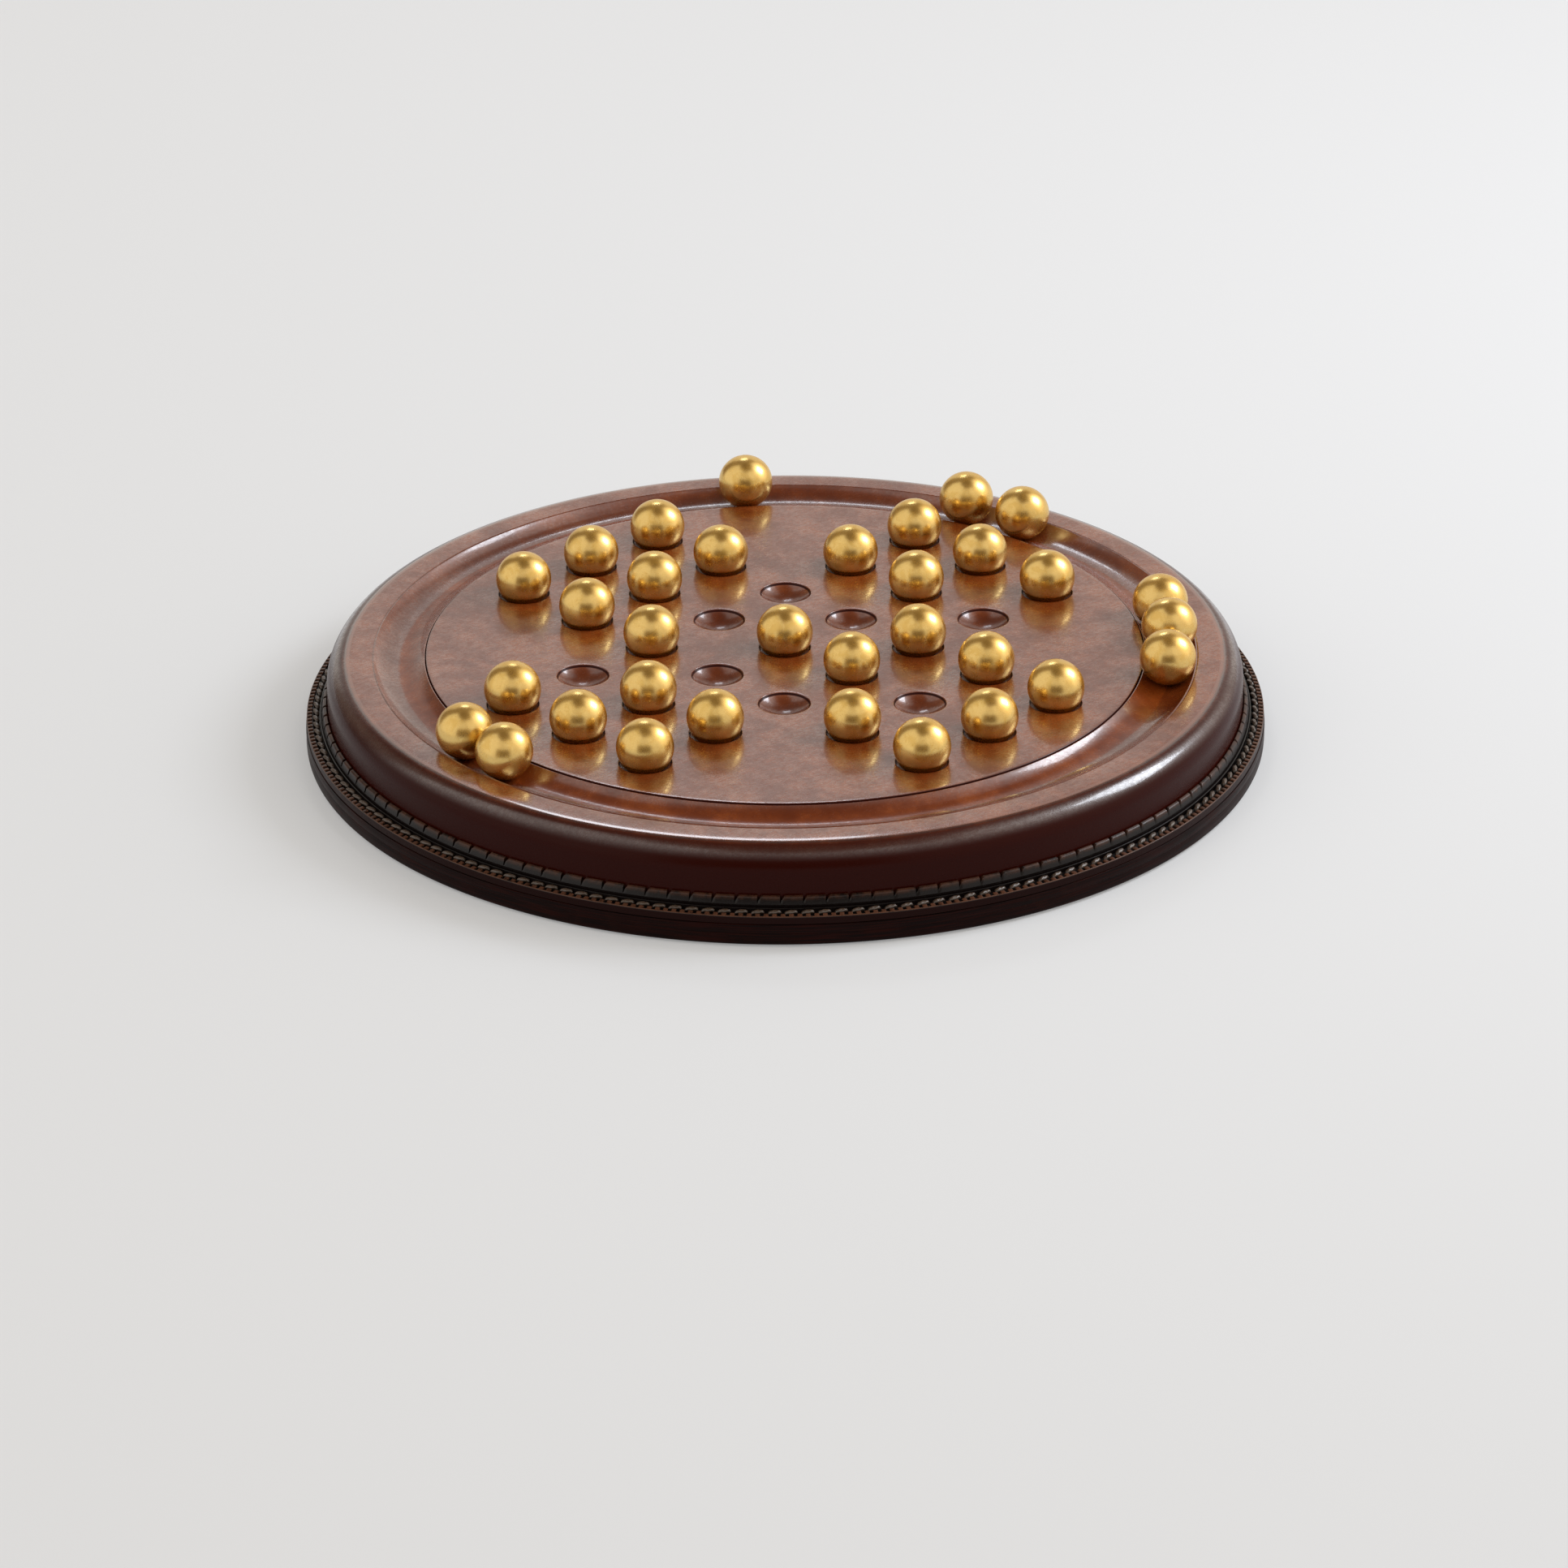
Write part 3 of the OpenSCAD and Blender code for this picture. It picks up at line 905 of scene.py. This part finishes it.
# Balls: each one rides on its own body

ball = {"cuts": 19}  # across each face of the cube that it starts as


def quadBall(radius):  # a cube cut into squares and blown up to a sphere
    work = bmesh.new()
    bmesh.ops.create_cube(work, size=2)
    bmesh.ops.subdivide_edges(work, edges=work.edges, cuts=ball["cuts"], use_grid_fill=True)
    for v in work.verts:
        even = Vector([math.tan(c * math.pi / 4) for c in v.co])
        v.co = even.normalized() * radius
    points = np.array([v.co for v in work.verts])
    faces = np.array([[v.index for v in f.verts] for f in work.faces])
    work.free()
    return points, faces


def makeBalls():
    names = sorted(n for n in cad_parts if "ball_" in n)
    low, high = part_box(names[0])
    points, faces = quadBall((high.z - low.z) / 2 / mm)
    for name in names:
        low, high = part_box(name)
        middle = np.array((low + high) / 2) / mm
        title = name.replace("ball", "brassBall")
        buildPiece(title, points + middle, [faces], brassFinish, name, body=name)
    print("balls:", len(names))


makeBalls()

# Pieces that stay as the frame has them

kept = {
    "core": (timberFinish, "wood"),
    "filler": (corkFinish, "cork"),
    "welt_nails": (steelFinish, "steel"),
}
for name, (material, slot) in kept.items():
    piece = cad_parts[name]
    piece.data.materials.clear()
    piece.data.materials.append(material)
print("kept pieces painted")

# Studio: pale floor, sheets of pale paper in a dim warm room, and two soft lamps
# Azimuths start at the camera and run to its right. A paper has its azimuth, half width, lowest
# and highest elevation, softness and brightness, all in degrees but the last. A lamp has its
# azimuth, elevation, distance, width, height and glow.

studio = {
    "floorShown": 0.56, "floorGlow": 0.25, "floorPlain": 0.26, "floorSize": 9, "grey": (0.98, 1.0, 1.03),
    "papers": [
        (-74, 43, -60, 71, 6, 1.0),
        (2, 45, 29, 64, 7, 0.78),
        (58, 32, -60, 62, 9, 0.8),
        (112, 30, -60, 66, 8, 0.85),
        (179, 32, -60, 41, 6, 0.78),
    ],
    "shade": (0.21, 0.17, 0.13), "paper": (1.0, 0.95, 0.88),
    "dark": (3, 22, -60, 26, 7, 1.0), "zenith": (68, 78), "dip": 0.4,
    "haloAt": (100, 36), "haloAngles": (40, 8), "halo": 0.55,
    "lamps": {
        "keyBox": (107, 38, 1.5, 0.54, 0.56, 10),
        "backWindow": (-175, 42, 1.55, 0.36, 0.18, 6),
    },
    "daylight": (0.91, 0.97, 1.06),
    "target": Vector((0.0826, -0.0822, 0.036)), "azimuth": 45.42, "elevation": 25.76,
    "distance": 2.022, "roll": -0.36, "lens": 147.56, "sensor": 36,
}


def towards(azimuth, elevation):  # the way from the board, with the azimuth from the camera
    turn = math.radians(studio["azimuth"] + azimuth)
    rise = math.radians(elevation)
    flat = math.cos(rise)
    return Vector((math.sin(turn) * flat, -math.cos(turn) * flat, math.sin(rise)))


def makeFloor():  # pale for the camera and in mirror images, a plain grey for all other light
    material = bpy.data.materials.new("floor")
    material.use_nodes = True
    material.node_tree.nodes.clear()
    sheet = Wire(material.node_tree)

    def card(level):
        grey = [studio[level] * c for c in studio["grey"]]
        return sheet.node("BsdfDiffuse", {}, {"Color": (*grey, 1)})

    rays = sheet.node("LightPath", {}, {})
    seen = sum(rays.outlet(name) for name in ("Is Camera Ray", "Is Glossy Ray", "Is Transmission Ray"))
    glow = sheet.node("Emission", {}, {"Color": (1, 1, 1, 1), "Strength": studio["floorGlow"]})
    shown = sheet.node("AddShader", {}, {0: card("floorShown"), 1: glow})
    plugs = {0: seen.reckon("MINIMUM", 1.0), 1: card("floorPlain"), 2: shown}
    sheet.node("OutputMaterial", {}, {"Surface": sheet.node("MixShader", {}, plugs)})
    bpy.ops.mesh.primitive_plane_add(size=studio["floorSize"], location=(0, 0, 0))
    floor = bpy.context.object
    floor.name = "floor"
    floor.data.materials.append(material)


def makeSky():
    world = bpy.data.worlds.new("sky")
    bpy.context.scene.world = world
    world.use_nodes = True
    world.node_tree.nodes.clear()
    sheet = Wire(world.node_tree)
    way = sheet.node("TexCoord", {}, {}, "Generated")

    def along(direction):
        return way.node("VectorMath", {"operation": "DOT_PRODUCT"}, {0: way, 1: tuple(direction)}, 1)

    turn = along(towards(90, 0)).reckon("ARCTAN2", along(towards(0, 0))) * math.degrees(1)
    rise = along((0, 0, 1)).reckon("ARCSINE") * math.degrees(1)

    def patch(azimuth, half, low, high, soft, bright):
        off = abs((turn - azimuth).reckon("WRAP", 180.0, -180.0))
        across = 1 - off.between(half - soft, half + soft)
        return across * rise.band(low - soft, low + soft, high - soft, high + soft) * bright

    papers = sum(patch(*place) for place in studio["papers"]).reckon("MINIMUM", 1.0)
    colour = blend(papers, studio["shade"], studio["paper"])
    edges = [math.cos(math.radians(angle)) for angle in studio["haloAngles"]]
    halo = along(towards(*studio["haloAt"])).between(*edges)
    dim = patch(*studio["dark"]) + rise.between(*studio["zenith"])
    strength = 1 + halo * studio["halo"] - dim * studio["dip"]
    shade = sheet.node("Background", {}, {"Color": colour, "Strength": strength})
    sheet.node("OutputWorld", {}, {"Surface": shade})


def hangLamp(name, azimuth, elevation, distance, width, height, glow):
    lamp = bpy.data.lights.new(name, "AREA")
    lamp.shape = "RECTANGLE"
    lamp.size = width
    lamp.size_y = height
    lamp.energy = glow * math.pi * width * height
    lamp.color = studio["daylight"]
    holder = bpy.data.objects.new(name, lamp)
    bpy.context.scene.collection.objects.link(holder)
    way = towards(azimuth, elevation)
    holder.location = way * distance
    holder.rotation_euler = way.to_track_quat("Z", "Y").to_euler()
    holder.visible_camera = False


def makeCamera():
    lens = bpy.data.cameras.new("camera")
    lens.lens = studio["lens"]
    lens.sensor_width = studio["sensor"]
    camera = bpy.data.objects.new("camera", lens)
    bpy.context.scene.collection.objects.link(camera)
    back = towards(0, studio["elevation"])
    camera.location = studio["target"] + back * studio["distance"]
    facing = back.to_track_quat("Z", "Y").to_matrix().to_4x4()
    facing = facing @ Matrix.Rotation(math.radians(studio["roll"]), 4, "Z")
    camera.rotation_euler = facing.to_euler()
    bpy.context.scene.camera = camera


makeFloor()
makeSky()
for name, place in studio["lamps"].items():
    hangLamp(name, *place)
makeCamera()
bpy.context.scene.view_settings.view_transform = "Standard"
print("studio lit")
